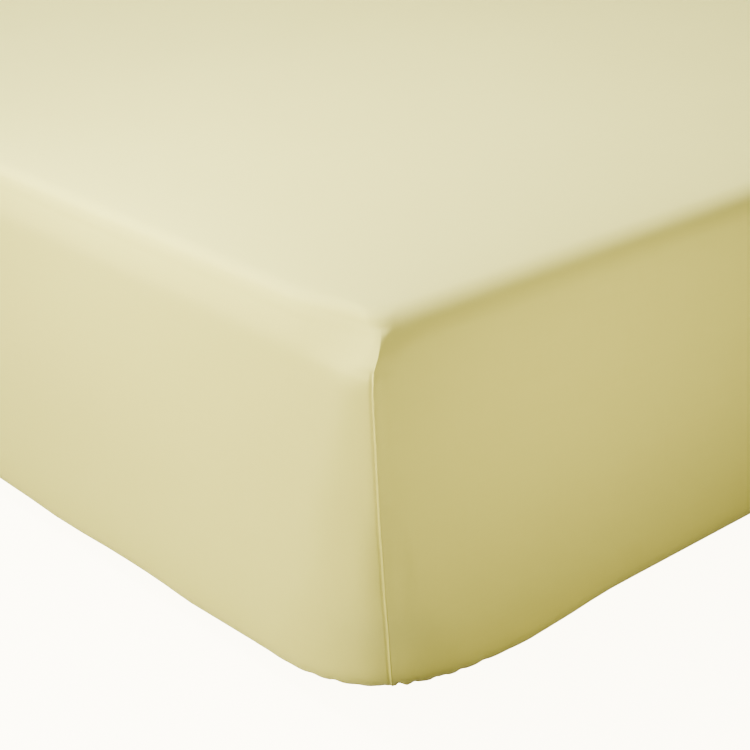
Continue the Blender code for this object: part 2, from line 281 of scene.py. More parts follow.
def smooth_between(at, places, values):
    """The value at a place between a table's rows, passing smoothly through every row."""
    places, values = np.array(places), np.array(values, float)
    runs = np.diff(places)
    slopes = np.diff(values) / runs
    same_way = slopes[1:] * slopes[:-1] > 0
    total = slopes[1:] + slopes[:-1]
    middle = np.where(same_way, 2 * slopes[1:] * slopes[:-1] / np.where(same_way, total, 1), 0)
    tangents = np.concatenate([slopes[:1], middle, slopes[-1:]])
    at = min(max(at, places[0]), places[-1])
    row = min(max(int(np.searchsorted(places, at)) - 1, 0), len(runs) - 1)
    run = runs[row]
    t = (at - places[row]) / run
    start = values[row] * (1 + 2 * t) * (1 - t) ** 2 + run * tangents[row] * t * (1 - t) ** 2
    end = values[row + 1] * t * t * (3 - 2 * t) + run * tangents[row + 1] * t * t * (t - 1)
    return start + end


def section_curve():
    """Places down the section, with how far in and how high the cloth lies at each."""
    places = np.linspace(0.0, HEM, SECTION_SAMPLES)
    angles = np.radians([smooth_between(down, *zip(*HEADINGS)) for down in places])
    middle = 0.5 * (angles[1:] + angles[:-1])
    outward = np.concatenate([[0.0], np.cumsum(np.cos(middle)) * places[1]])
    drop = np.concatenate([[0.0], np.cumsum(np.sin(middle)) * places[1]])
    insets = np.interp(TURN_END, places, outward) - outward + SIDE_TUCK + UNDER_RADIUS
    return places, insets, RIM_HEIGHT * (1 - drop / drop[-1])


PLACES, INSETS, HEIGHTS = section_curve()
RIM_INSET = INSETS[0]


def section(down):
    """How far in from the outline, and how high, the cloth lies at this place."""
    if down <= 0.0:
        return RIM_INSET - down, RIM_HEIGHT
    return float(np.interp(down, PLACES, INSETS)), float(np.interp(down, PLACES, HEIGHTS))


def crown_rise(x, y):
    """How far the top stands above its rim at these places."""
    across = np.maximum(HALF_WIDTH - RIM_INSET - np.abs(x), 0.0)
    lengthwise = np.maximum(HALF_LENGTH - RIM_INSET - np.abs(y), 0.0)
    shoulder = (1 - np.exp(-across / SHOULDER_REACH)) * (1 - np.exp(-lengthwise / SHOULDER_REACH))
    middle = ease(across / CROWN_REACH) * ease(lengthwise / CROWN_REACH)
    return SHOULDER * shoulder + (CROWN - SHOULDER) * middle


def section_normal(down):
    """The outward and upward parts of the section's normal."""
    step = 4e-4
    before = section(down - step)
    after = section(down + step)
    outward, upward = before[1] - after[1], after[0] - before[0]
    length = math.hypot(outward, upward)
    return outward / length, -upward / length


def read_rows(rows, down):
    """The columns of a table at this place down the cloth."""
    columns = list(zip(*rows))
    return [smooth_between(down, columns[0], column) for column in columns[1:]]


def panel_inset(down, panel):
    """How far in from the outline a panel lies at this place."""
    further = read_rows(END_SLOPE, down)[0] if panel == "end" else 0.0
    return section(down)[0] + further


class RoundedEnd:
    """A panel's last stretch before the seam, where it leans in."""

    def __init__(self, radius, lean, easing, step, reach, sharp_turn, sharp_reach):
        rounded = 0.5 * (easing + 1) * radius * lean
        self.length = max(rounded, reach if step > 1e-6 else 0.0, sharp_reach)
        self.places = np.linspace(0.0, self.length, END_SAMPLES)
        share = np.clip(self.places / reach, 0.0, 1.0)
        self.headings = lean * np.maximum(1 - self.places / rounded, 0.0) ** easing
        self.headings += np.arctan(step / reach * 6 * share * (1 - share))
        self.headings += sharp_turn * np.maximum(1 - self.places / sharp_reach, 0.0)
        step = self.places[1]
        middle = 0.5 * (self.headings[1:] + self.headings[:-1])
        self.runs = np.concatenate([[0.0], np.cumsum(np.cos(middle)) * step])
        drawn_in = np.concatenate([[0.0], np.cumsum(np.sin(middle)) * step])
        self.insets = drawn_in[-1] - drawn_in
        self.seam_inset = drawn_in[-1]

    def heading(self, distance):
        return np.interp(distance, self.places, self.headings)

    def inset(self, distance):
        return np.interp(distance, self.places, self.insets)

    def run(self, distance):
        """Distance from the seam along the panel's own plane."""
        past = np.maximum(distance - self.length, 0.0)
        return np.interp(distance, self.places, self.runs) + past

    def distance_of_line(self, line, inset, other):
        """Distance along the ring of a line this far from the sharp corner of the outline."""
        return line - inset - other.seam_inset - self.runs[-1] + self.length


def corner_ends(down):
    """The rounded ends of the end panel and the side panel at this place."""
    end_radius, end_lean, side_radius, side_lean, easing = read_rows(CORNER_FORMS, down)
    end_step, side_step, sharp_turn, sharp_reach = read_rows(CORNER_PULLS, down)
    sharp = (math.radians(sharp_turn), sharp_reach)
    end = (end_radius, math.radians(end_lean), easing, end_step, END_STEP_REACH, *sharp)
    # The side has no sharp turn, whose reach still mustn't be 0
    side = (side_radius, math.radians(side_lean), easing, side_step, SIDE_STEP_REACH, 0.0, 0.001)
    return RoundedEnd(*end), RoundedEnd(*side)


LOWEST_ENDS = corner_ends(LOWEST_SEEN)


def graded(start, stop, first, growth, most):
    """Places from start to stop whose steps grow from the first step to the most."""
    places, step = [start], first
    while places[-1] < stop:
        places.append(places[-1] + step)
        step = min(step * growth, most)
    scale = (stop - start) / (places[-1] - start)
    return start + (np.array(places) - start) * scale


def near_stations():
    """Distances from the seam of the close mesh lines beside it."""
    ridge = graded(0.0, NEAR_SEAM_END, 0.0003, 1.0, 0.0003)
    beside = graded(NEAR_SEAM_END, FINE_END, 0.00045, 1.15, 0.0011)
    gathered = graded(FINE_END, GATHERED_END, 0.0012, 1.1, 0.0024)
    return np.concatenate([ridge[1:], beside[1:], gathered[1:]])


def plain_lines(stop, count):
    """Lines of the plain part, measured from the sharp corner, wider apart further on."""
    shares = np.linspace(0.0, 1.0, count + 1)
    return PLAIN_START + (stop - PLAIN_START) * (0.45 * shares + 0.55 * shares**2)


NEAR = near_stations()
PLAIN = {
    "end": plain_lines(HALF_WIDTH, END_LINE_COUNT),
    "side": plain_lines(HALF_LENGTH, SIDE_LINE_COUNT),
}


def panel_points(down, panel, near, plain=()):
    """Points of a ring on the end or the side panel of the photographed corner.

    near holds distances from the seam on the ring of LOWEST_SEEN; plain holds lines measured
    from the sharp corner. Returns x, y, the normal's x and y, and the distance from the seam.
    """
    order = slice(None) if panel == "end" else slice(None, None, -1)
    rim, rim_other = LOWEST_ENDS[order]
    own, other = corner_ends(max(down, 0.0))[order]
    insets = panel_inset(max(down, 0.0), "end"), panel_inset(max(down, 0.0), "side")
    inset, across = insets[order]
    turn = own.length if down > LOWEST_SEEN else rim.length
    rim_plain = rim.distance_of_line(PLAIN_START, section(LOWEST_SEEN)[0], rim_other)
    plain_start = own.distance_of_line(PLAIN_START, across, other)
    distances = np.interp(near, [0.0, rim.length, rim_plain], [0.0, turn, plain_start])
    straight = [own.distance_of_line(line, across, other) for line in plain]
    distances = np.concatenate([np.atleast_1d(distances), straight])
    heading = own.heading(distances)
    along = across + other.seam_inset + own.run(distances)
    from_side, from_end = (along, inset + own.inset(distances))[order]
    x, y = HALF_WIDTH - from_side, from_end - HALF_LENGTH
    normal_x, normal_y = (np.sin(heading), np.cos(heading))[order]
    if down < 0.0:
        drawn_in = section(down)[0]
        x = x * (HALF_WIDTH - drawn_in) / (HALF_WIDTH - RIM_INSET)
        y = y * (HALF_LENGTH - drawn_in) / (HALF_LENGTH - RIM_INSET)
    return np.stack([x, y, normal_x, -normal_y, distances], 1)


def gather_rise(from_seam, down, gathers):
    """How far the gathered hem pushes the cloth in, by distance from the seam."""
    start = TURN_START + UNDER_RADIUS - GATHER_START_HEIGHT
    growth = ease((down - start) / (HEM - start))
    places = [row.from_seam for row in gathers]
    depth = np.zeros_like(from_seam)
    for row in gathers:
        apart = min(abs(row.from_seam - other) for other in places if other != row.from_seam)
        depth += row.depth * hump((from_seam - row.from_seam) / (0.5 * apart))
    return GATHER_DEPTH * growth * np.minimum(depth, 1.0)


def pucker_rise(from_seam, down, puckers):
    """How far the small puckers pull the lower edge in, by distance from the seam."""
    strength = float(ease(np.interp(down, PUCKER_SPAN, (0.0, 1.0, 1.0, 0.0))))
    depth = np.zeros_like(from_seam)
    for row in puckers:
        depth += row.depth * hump((from_seam - row.from_seam) / row.half_width)
    return strength * depth


def seam_rise(from_seam, down, panel):
    """The sewn ridge at the corner, the groove beside it and the allowance under the side."""
    strength = float(np.interp(down, SEAM_SPAN, (0.0, 1.0, 1.0, 0.0)))
    knot = 1 + KNOT_RISE * float(hump((down - KNOT_PLACE) / KNOT_HALF_LENGTH))
    rise = SEAM_HEIGHT * knot * hump(from_seam / SEAM_HALF_WIDTH)
    if panel == "end":
        rise = rise - GROOVE_DEPTH * hump((from_seam - GROOVE_PLACE) / GROOVE_HALF_WIDTH)
    else:
        past = (from_seam - ALLOWANCE_WIDTH) / ALLOWANCE_EDGE
        shown = float(np.interp(down, ALLOWANCE_FADE, ALLOWANCE_SHARES))
        start = ease(from_seam / ALLOWANCE_START)
        rise = rise + shown * ALLOWANCE_RISE * ease(0.5 - past) * start
    return strength * rise


def swell_rise(panel, along, down):
    """Soft swell of a side panel."""
    total = np.zeros_like(along)
    for row in SWELLS:
        if row.panel == panel:
            across = hump((along - row.along) / row.half_along)
            total += row.rise * across * hump((down - row.down) / row.half_down)
    return total


def cloth_thickness(down):
    """The cloth's thickness, more where the hem is turned up."""
    return CLOTH + HEM_FOLD_RISE * float(ease((down - HEM + HEM_FOLD) / HEM_FOLD_EDGE))


def surface(down, corner, panel, near, plain=()):
    """Outer and inner points of the cloth, its normals and its weave coordinates."""
    rows = panel_points(down, panel, near, plain)
    outward, upward = section_normal(down) if down > 0.0 else (0.0, 1.0)
    from_seam = rows[:, 4]
    x, y = rows[:, 0] * corner.flip_x, rows[:, 1] * corner.flip_y
    height = np.full_like(x, section(down)[1])
    if down < CROWN_END:
        height = height + crown_rise(x, y)
    normal_x, normal_y = rows[:, 2] * corner.flip_x, rows[:, 3] * corner.flip_y
    normals = np.stack([normal_x * outward, normal_y * outward, np.full_like(x, upward)], 1)
    places = np.stack([x, y, height], 1)
    # The panel faces along this axis, to this side
    axis = 1 if panel == "end" else 0
    side = (corner.flip_x, -corner.flip_y)[axis]
    weave, rise = [x, y], np.zeros_like(x)
    if down > 0.0:
        half = (HALF_WIDTH, HALF_LENGTH)[axis]
        weave[axis] = np.full_like(x, side * (half - RIM_INSET + down))
        rise = swell_rise(PANEL_NAMES[axis, side], (x, y)[1 - axis], down)
        rise = rise - corner.gathering * gather_rise(from_seam, down, GATHERS[panel])
        rise = rise - corner.gathering * pucker_rise(from_seam, down, PUCKERS[panel])
    outer_rise = rise + seam_rise(from_seam, down, panel)
    outer = places + normals * outer_rise[:, None]
    inner = places + normals * (rise - cloth_thickness(down))[:, None]
    return outer, inner, normals, np.stack(weave, 1)


def whole_ring(down):
    """A ring of the shell, counter-clockwise.

    Returns its outer points, inner points and weave map, each seam's point number, and the
    seam's weave map as the side panel has it.
    """
    rings = ([], [], [])
    seam_at, seam_weave, before = [], [], 0
    near = np.concatenate([[0.0], NEAR])
    for corner in CORNERS:
        end = surface(down, corner, "end", near, PLAIN["end"])
        side = surface(down, corner, "side", near, PLAIN["side"])
        turned = corner.flip_x * corner.flip_y < 0
        for ring, part in zip(rings, (0, 1, 3)):
            points = np.concatenate([end[part][::-1], side[part][1:]])
            ring.append((points[::-1] if turned else points)[:-1])
        seam_at.append(before + len(side[0] if turned else end[0]) - 1)
        seam_weave.append(side[3][0])
        before += len(ring[-1])
    return (*map(np.concatenate, rings), seam_at, seam_weave)


def ring_places():
    """Places of the shell's rings, from the middle line of the top to the hem."""
    top = graded(0.0, HALF_WIDTH - RIM_INSET, 0.0035, 1.3, 0.042)[::-1]
    spans = (
        graded(0.0, SEAM_START + 0.014, 0.0016, 1.0, 0.0016),
        graded(SEAM_START + 0.014, TURN_START, 0.002, 1.2, 0.0075),
        graded(TURN_START, TURN_END, 0.0021, 1.0, 0.0021),
        graded(TURN_END, HEM, 0.0025, 1.15, 0.0050),
    )
    return np.concatenate([-top, *[span[1:] for span in spans]])


# --- Node trees ---


class Field:
    """A number that varies over a surface, in a node tree. Arithmetic on it adds Math nodes."""

    def __init__(self, socket):
        self.socket = socket

    def math(self, operation, *others):
        parts = dict(enumerate((self, *others)))
        tree = self.socket.id_data
        return Field(add_node(tree, "ShaderNodeMath", parts, operation=operation).outputs[0])

    def __add__(self, other):
        return self.math("ADD", other)

    def __sub__(self, other):
        return self.math("SUBTRACT", other)

    def __mul__(self, other):
        return self.math("MULTIPLY", other)

    def __truediv__(self, other):
        return self.math("DIVIDE", other)

    def least(self, other):
        return self.math("MINIMUM", other)

    def most(self, other):
        return self.math("MAXIMUM", other)

    def size(self):
        return self.math("ABSOLUTE")

    def sine(self):
        return self.math("SINE")

    def root(self):
        return self.math("SQRT")

    def eased(self):
        """0 to 1, level at both ends."""
        t = self.most(0.0).least(1.0)
        return t * t * (t * -2.0 + 3.0)


def feed(node, inputs):
    """Links the inputs that get a field, a socket or a node's first output; sets the others."""
    for label, value in inputs.items():
        value = value.socket if isinstance(value, Field) else value
        value = value.outputs[0] if isinstance(value, bpy.types.Node) else value
        if isinstance(value, bpy.types.NodeSocket):
            node.id_data.links.new(value, node.inputs[label])
        else:
            node.inputs[label].default_value = value


def add_node(tree, kind, inputs=None, **settings):
    """A new node, with its settings and its inputs by label or number."""
    node = tree.nodes.new(kind)
    for name, value in settings.items():
        setattr(node, name, value)
    feed(node, inputs or {})
    return node


def split(tree, vector):
    """The three parts of a vector."""
    node = add_node(tree, "ShaderNodeSeparateXYZ", {0: vector})
    return [Field(output) for output in node.outputs]


def joined(tree, *parts):
    """A vector made of three parts."""
    return add_node(tree, "ShaderNodeCombineXYZ", dict(enumerate(parts)))


def new_tree(name, kind, inputs, outputs):
    """A node tree. Its inputs and outputs are rows of name, socket type and any default."""
    tree = bpy.data.node_groups.new(name, kind)
    for way, rows in (("INPUT", inputs), ("OUTPUT", outputs)):
        for label, holds, *default in rows:
            holds = "NodeSocket" + holds
            socket = tree.interface.new_socket(label, in_out=way, socket_type=holds)
            if default:
                socket.default_value = default[0]
    return tree, tree.nodes.new("NodeGroupInput"), tree.nodes.new("NodeGroupOutput")


def new_shape_tree(name, sizes):
    """A Geometry Nodes tree whose inputs are a mesh, named sizes and a material."""
    mesh = ("Geometry", "Geometry")
    inputs = [(label, "Float", default) for label, default in sizes.items()]
    inputs = [mesh, *inputs, ("Material", "Material")]
    return new_tree(name, "GeometryNodeTree", inputs, [mesh])


def finish_shape_tree(tree, start, end, geometry):
    """Shades the geometry smooth and ends a tree in Realize Instances and Set Material."""
    smooth = add_node(tree, "GeometryNodeSetShadeSmooth", {"Geometry": geometry})
    real = add_node(tree, "GeometryNodeRealizeInstances", {0: smooth})
    inputs = {"Geometry": real, "Material": start.outputs["Material"]}
    paint = add_node(tree, "GeometryNodeSetMaterial", inputs)
    feed(end, {0: paint})


def run_shape_tree(source, tree, values, name):
    """Runs the tree on the source object and returns the result as a plain mesh object."""
    modifier = source.modifiers.new(tree.name, "NODES")
    modifier.node_group = tree
    for item in tree.interface.items_tree:
        if item.item_type == "SOCKET" and item.in_out == "INPUT" and item.name in values:
            modifier[item.identifier] = values[item.name]
    bpy.context.view_layer.update()
    evaluated = source.evaluated_get(bpy.context.evaluated_depsgraph_get())
    data = bpy.data.meshes.new_from_object(evaluated)
    data.name = name
    made = bpy.data.objects.new(name, data)
    bpy.context.scene.collection.objects.link(made)
    source.modifiers.remove(modifier)
    bpy.data.objects.remove(source, do_unlink=True)
    if not data.polygons:
        raise RuntimeError(f"{name} came out empty")
    return made


def noise(tree, vector, scale, detail=2.0, roughness=0.5):
    """A noise texture's factor over a vector."""
    inputs = {"Detail": detail, "Roughness": roughness, "Vector": vector, "Scale": scale}
    return Field(add_node(tree, "ShaderNodeTexNoise", inputs).outputs["Fac"])


def plain_weave_effect():
    """Threads over and under each other: their height, and how thick each thread is."""
    tree, start, end = new_tree(
        "plain weave",
        "ShaderNodeTree",
        (("Vector", "Vector"), ("Pitch", "Float", 0.0004)),
        (("Height", "Float"), ("Slub", "Float")),
    )
    across, along, _ = split(tree, start.outputs["Vector"])
    pitch = Field(start.outputs["Pitch"])
    turns_across = across * math.pi / pitch
    turns_along = along * math.pi / pitch
    height = turns_across.sine() * turns_along.sine() * 0.5 + 0.5
    warp = noise(tree, joined(tree, across / pitch * 0.35, along * 9.0, 0.0), 1.0, 1.0)
    weft = noise(tree, joined(tree, across * 9.0, along / pitch * 0.35, 4.0), 1.0, 1.0)
    slub = warp * 0.5 + weft * 0.5
    feed(end, {"Height": height * (slub * 0.8 + 0.6), "Slub": slub})
    return tree


def soft_tone_effect():
    """Slow changes of tone over the cloth, and slight creasing of its surface."""
    tree, start, end = new_tree(
        "soft tone",
        "ShaderNodeTree",
        (("Vector", "Vector"), ("Size", "Float", 0.25)),
        (("Tone", "Float"), ("Creasing", "Float")),
    )
    vector, size = start.outputs["Vector"], Field(start.outputs["Size"])
    one = size * 0.0 + 1.0
    tone = noise(tree, vector, one / size)
    creasing = noise(tree, vector, one / size * 5.0, 3.0, 0.45)
    feed(end, {"Tone": tone, "Creasing": creasing})
    return tree


def place_effect(tree, name, maker, inputs):
    """Puts an effect, which is built only once, into a material."""
    group = bpy.data.node_groups.get(name) or maker()
    return add_node(tree, "ShaderNodeGroup", inputs, node_tree=group)


def new_material(name):
    """A material with its Principled node."""
    made = bpy.data.materials.new(name)
    made.use_nodes = True
    shader = next(n for n in made.node_tree.nodes if n.type == "BSDF_PRINCIPLED")
    return made, made.node_tree, shader


def varied_color(tree, color, share, deeper, paler):
    """The colour, varied by a share between a deeper and a paler multiple of it."""
    low = [part * times for part, times in zip(color, deeper)]
    high = [min(1.0, part * paler) for part in color]
    inputs = {"A": (*low, 1.0), "B": (*high, 1.0), "Factor": share}
    return add_node(tree, "ShaderNodeMix", inputs, data_type="RGBA").outputs["Result"]


def bump(tree, height, strength, **below):
    """A bump by a height in metres, over any other normal."""
    inputs = {"Strength": strength, "Distance": 1.0, "Height": height, **below}
    return add_node(tree, "ShaderNodeBump", inputs)


def woven_material(name, color, pitch, weave_depth, crease_depth, sheen, from_map=False):
    """Plain woven cotton: threads, slubs, slight creasing and a faint sheen."""
    made, tree, shader = new_material(name)
    if from_map:
        vector = add_node(tree, "ShaderNodeUVMap", uv_map=WEAVE_MAP)
    else:
        vector = add_node(tree, "ShaderNodeTexCoord").outputs["Object"]
    inputs = {"Vector": vector, "Pitch": pitch}
    weave = place_effect(tree, "plain weave", plain_weave_effect, inputs)
    inputs = {"Vector": vector, "Size": 0.22}
    tone = place_effect(tree, "soft tone", soft_tone_effect, inputs)
    slow = Field(tone.outputs["Tone"])
    share = (Field(weave.outputs["Slub"]) - 0.5) * 0.5 + (slow - 0.5) * 0.7 + 0.5
    creases = bump(tree, Field(tone.outputs["Creasing"]) * crease_depth, 1.0)
    threads = Field(weave.outputs["Height"]) * weave_depth
    inputs = {
        "Base Color": varied_color(tree, color, share, (0.965, 0.96, 0.93), 1.03),
        "Roughness": (slow - 0.5) * 0.10 + 0.80,
        "Normal": bump(tree, threads, 1.0, Normal=creases),
        "Specular IOR Level": 0.25,
        "Sheen Weight": sheen,
        "Sheen Roughness": 0.45,
    }
    feed(shader, inputs)
    return made


def thread_material(color):
    """Twisted sewing thread, a little paler than the cloth."""
    made, tree, shader = new_material("sewing thread")
    grain = noise(tree, add_node(tree, "ShaderNodeTexCoord").outputs["Object"], 900.0)
    inputs = {
        "Base Color": varied_color(tree, color, grain, (0.9, 0.9, 0.9), 1.06),
        "Roughness": grain * 0.2 + 0.55,
        "Normal": bump(tree, grain * 0.0001, 0.6),
        "Specular IOR Level": 0.35,
        "Sheen Weight": 0.2,
    }
    feed(shader, inputs)
    return made


# --- The pieces ---


def add_object(name, data):
    made = bpy.data.objects.new(name, data)
    bpy.context.scene.collection.objects.link(made)
    return made


def band(upper, lower, outward):
    """Quads between two rings of point numbers."""
    after_upper, after_lower = np.roll(upper, -1), np.roll(lower, -1)
    quads = np.stack([upper, lower, after_lower, after_upper], 1)
    return quads if outward else quads[:, ::-1]


def sheet_mesh(name):
    """The shell of cloth: a fine outer skin, and an inner skin of fewer rings."""
    places = ring_places()
    rings = [whole_ring(down) for down in places]
    count = len(rings[0][0])
    kept = sorted({*range(0, len(places), INNER_SKIP), len(places) - 2, len(places) - 1})
    skins = rings + [rings[i] for i in kept]
    points = [ring[0] for ring in rings] + [rings[i][1] for i in kept]
    numbers = np.arange(len(points) * count).reshape(len(points), count)
    outer, inner = numbers[: len(places)], numbers[len(places) :]
    bands = [band(a, b, True) for a, b in zip(outer, outer[1:])]
    bands += [band(a, b, False) for a, b in zip(inner, inner[1:])]
    bands.append(band(outer[-1], inner[-1], True))
    quads = np.concatenate(bands)
    data = bpy.data.meshes.new(name)
    data.from_pydata(np.concatenate(points).tolist(), [], quads.tolist())
    corners = np.zeros(len(data.loops), int)
    data.loops.foreach_get("vertex_index", corners)
    maps = np.concatenate([ring[2] for ring in skins])[corners].reshape(-1, 4, 2)
    # At a seam the side's faces have the side's own place in the weave
    at_seams = np.array([ring[4] for ring in skins])
    stations, ring_of = quads % count, quads // count
    for which, (seam, corner) in enumerate(zip(rings[0][3], CORNERS)):
        past = (seam + corner.flip_x * corner.flip_y) % count
        chosen = (stations == seam) & (stations == past).any(axis=1)[:, None]
        maps[chosen] = at_seams[ring_of[chosen], which]
    layer = data.uv_layers.new(name=WEAVE_MAP)
    layer.data.foreach_set("uv", maps.astype(np.float32).ravel())
    return data


def make_sheet(settings):
    """The cloth of the fitted sheet."""
    data = sheet_mesh("fitted_sheet_cloth")
    # The two halves of the top meet on its middle line
    mesh = bmesh.new()
    mesh.from_mesh(data)
    bmesh.ops.remove_doubles(mesh, verts=mesh.verts, dist=MERGE_WITHIN)
    mesh.to_mesh(data)
    mesh.free()
    data.shade_smooth()
    data.set_sharp_from_angle(angle=SHARP_ANGLE)
    color, pitch = tuple(settings.cloth_color), settings.thread_pitch
    depths = (settings.thread_depth, settings.crease_depth)
    cotton = woven_material("lemon cotton", color, pitch, *depths, settings.sheen, True)
    data.materials.append(cotton)
    return add_object("fitted_sheet_cloth", data)


def mattress_form_tree():
    """A tree that makes a mattress: a block with rounded edges and a crowned top."""
    sizes = {
        "Half Width": MATTRESS_HIGH.x,
        "Half Length": MATTRESS_HIGH.y,
        "Bottom": MATTRESS_LOW.z,
        "Rim Height": MATTRESS_HIGH.z - CROWN,
        "Crown": CROWN,
        "Crown Reach": CROWN_REACH,
        "Top Edge Radius": 0.031,
        "Bottom Edge Radius": 0.042,
        "Top Corner Radius": 0.078,
        "Bottom Corner Radius": 0.118,
    }
    tree, start, end = new_shape_tree("mattress form", sizes)
    named = {output.name: Field(output) for output in start.outputs if output.name}
    half_width, half_length = named["Half Width"], named["Half Length"]
    bottom, rim = named["Bottom"], named["Rim Height"]
    counts = {"Vertices X": 33, "Vertices Y": 45, "Vertices Z": 29, "Size": (2.0, 2.0, 2.0)}
    cube = add_node(tree, "GeometryNodeMeshCube", counts)
    u, v, w = split(tree, add_node(tree, "GeometryNodeInputPosition"))
    # Points crowd towards the edges, where the form turns
    x = (u * QUARTER_TURN).sine() * half_width
    y = (v * QUARTER_TURN).sine() * half_length
    share = (w * QUARTER_TURN).sine() * 0.5 + 0.5
    z = bottom + (rim - bottom) * share
    from_edge = (half_width - x.size()).least(half_length - y.size())
    # The plan's corners, rounder towards the bottom
    wide, tight = named["Bottom Corner Radius"], named["Top Corner Radius"]
    corner = wide + (tight - wide) * share.eased()
    beyond_x = x - x.most(corner - half_width).least(half_width - corner)
    beyond_y = y - y.most(corner - half_length).least(half_length - corner)
    length = (beyond_x * beyond_x + beyond_y * beyond_y).root().most(1e-6)
    shrink = beyond_x.size().most(beyond_y.size()) / length
    out_x, out_y = beyond_x / length, beyond_y / length
    x = x - beyond_x + beyond_x * shrink
    y = y - beyond_y + beyond_y * shrink
    # The top and bottom edges, rolled
    for radius, reach, up in (
        (named["Top Edge Radius"], rim - z, 1.0),
        (named["Bottom Edge Radius"], z - bottom, -1.0),
    ):
        side = (radius - from_edge).most(0.0)
        rise = (radius - reach).most(0.0)
        both = (side * side + rise * rise).root().most(1e-6)
        pull = side.most(rise) / both - 1.0
        inside = (side.least(rise) / 1e-6).least(1.0)
        x = x + out_x * (side * pull * inside)
        y = y + out_y * (side * pull * inside)
        z = z + rise * pull * inside * up
    reach = named["Crown Reach"]
    crown = ((half_width - x.size()) / reach).eased() * ((half_length - y.size()) / reach).eased()
    z = z + named["Crown"] * crown * share
    inputs = {"Geometry": cube, "Position": joined(tree, x, y, z)}
    moved = add_node(tree, "GeometryNodeSetPosition", inputs)
    finish_shape_tree(tree, start, end, moved)
    return tree


def make_mattress(settings):
    """The mattress, a little inside the cloth all the way round."""
    threads = {"pitch": 0.0008, "weave_depth": 0.00012, "crease_depth": 0.0006, "sheen": 0.1}
    ticking = woven_material("ticking", tuple(settings.ticking_color), **threads)
    source = add_object("mattress_source", bpy.data.meshes.new("mattress_source"))
    return run_shape_tree(source, mattress_form_tree(), {"Material": ticking}, "mattress_body")


def stitch_row_tree():
    """A tree that lays stitches along a line: short rounded threads, evenly apart."""
    sizes = {"Spacing": 0.0030, "Length": 0.0023, "Thickness": 0.0005}
    tree, start, end = new_shape_tree("stitch row", sizes)
    line = add_node(tree, "GeometryNodeMeshToCurve", {0: start})
    inputs = {"Curve": line, "Length": start.outputs["Spacing"]}
    even = add_node(tree, "GeometryNodeResampleCurve", inputs, mode="LENGTH")
    ball = add_node(tree, "GeometryNodeMeshUVSphere", {"Segments": 6, "Rings": 5, "Radius": 0.5})
    length = Field(start.outputs["Length"])
    thickness = Field(start.outputs["Thickness"])
    scale = joined(tree, thickness, thickness, length)
    inputs = {"Geometry": ball, "Scale": scale}
    shaped = add_node(tree, "GeometryNodeTransform", inputs)
    tangent = add_node(tree, "GeometryNodeInputTangent")
    turned = add_node(tree, "FunctionNodeAlignRotationToVector", {"Vector": tangent}, axis="Z")
    inputs = {"Points": even, "Instance": shaped, "Rotation": turned}
    laid = add_node(tree, "GeometryNodeInstanceOnPoints", inputs)
    finish_shape_tree(tree, start, end, laid)
    return tree


def line_object(name, lines):
    """An object of open lines, each a list of points."""
    points, edges = [], []
    for line in lines:
        first = len(points)
        points += [tuple(point) for point in line]
        edges += [(i, i + 1) for i in range(first, len(points) - 1)]
    data = bpy.data.meshes.new(name)
    data.from_pydata(points, edges, [])
    return add_object(name, data)


def seam_line(corner):
    """The stitching beside a corner seam, from the seam's top to the turn under the mattress."""
    line = []
    for down in np.linspace(SEAM_START + SEAM_FADE, TURN_END, 110):
        outer, _, normals, _ = surface(down, corner, "end", [GROOVE_PLACE])
        line.append(outer[0] + normals[0] * SEAM_STITCH_LIFT)
    return line


def hem_line():
    """The stitching around the hem, on the underside."""
    line = whole_ring(HEM_STITCHES)[0] + np.array([0.0, 0.0, HEM_STITCH_LIFT])
    return [*line, line[0]]


def stitches(name, lines, settings):
    """A piece of stitches along lines."""
    tree = bpy.data.node_groups.get("stitch row") or stitch_row_tree()
    thread = bpy.data.materials.get("sewing thread")
    values = {
        "Spacing": settings.stitch_spacing,
        "Length": settings.stitch_length,
        "Thickness": settings.thread_thickness,
        "Material": thread or thread_material(tuple(settings.cloth_color)),
    }
    return run_shape_tree(line_object(name + "_line", lines), tree, values, name)


# --- The stage ---


def add_camera():
    """The camera, at the photograph's angle and distance."""
    camera = bpy.data.cameras.new("camera")
    camera.lens = CAMERA_LENS
    camera.sensor_width = 36.0
    camera.clip_start = 0.05
    made = add_object("camera", camera)
    made.location = CAMERA_PLACE
    aim = Euler((QUARTER_TURN - CAMERA_PITCH, 0.0, CAMERA_TURN)).to_matrix()
    made.rotation_euler = (aim @ Matrix.Rotation(CAMERA_ROLL, 3, "Z")).to_euler()
    bpy.context.scene.camera = made


def add_lamp(row, stage):
    """A soft lamp that looks at the photographed corner."""
    lamp = bpy.data.lights.new(row.name + "_lamp", "AREA")
    lamp.shape = "RECTANGLE"
    lamp.size = row.width
    lamp.size_y = row.depth
    lamp.energy = getattr(stage, row.name + "_power")
    lamp.color = tuple(getattr(stage, row.color))
    made = add_object(row.name + "_lamp", lamp)
    made.visible_camera = False
    turn, rise = math.radians(row.azimuth), math.radians(row.height)
    toward = (math.cos(rise) * math.sin(turn), -math.cos(rise) * math.cos(turn), math.sin(rise))
    made.location = [at + row.distance * part for at, part in zip(LAMP_AIM, toward)]
    made.rotation_euler = Euler((QUARTER_TURN - rise, 0.0, turn))


def seen_or_lit(tree, out, lit, seen):
    """Gives one shader to the camera and another to the light."""
    path = add_node(tree, "ShaderNodeLightPath").outputs["Is Camera Ray"]
    inputs = {"Fac": path, 1: lit, 2: seen}
    mixed = add_node(tree, "ShaderNodeMixShader", inputs)
    add_node(tree, out, {"Surface": mixed})


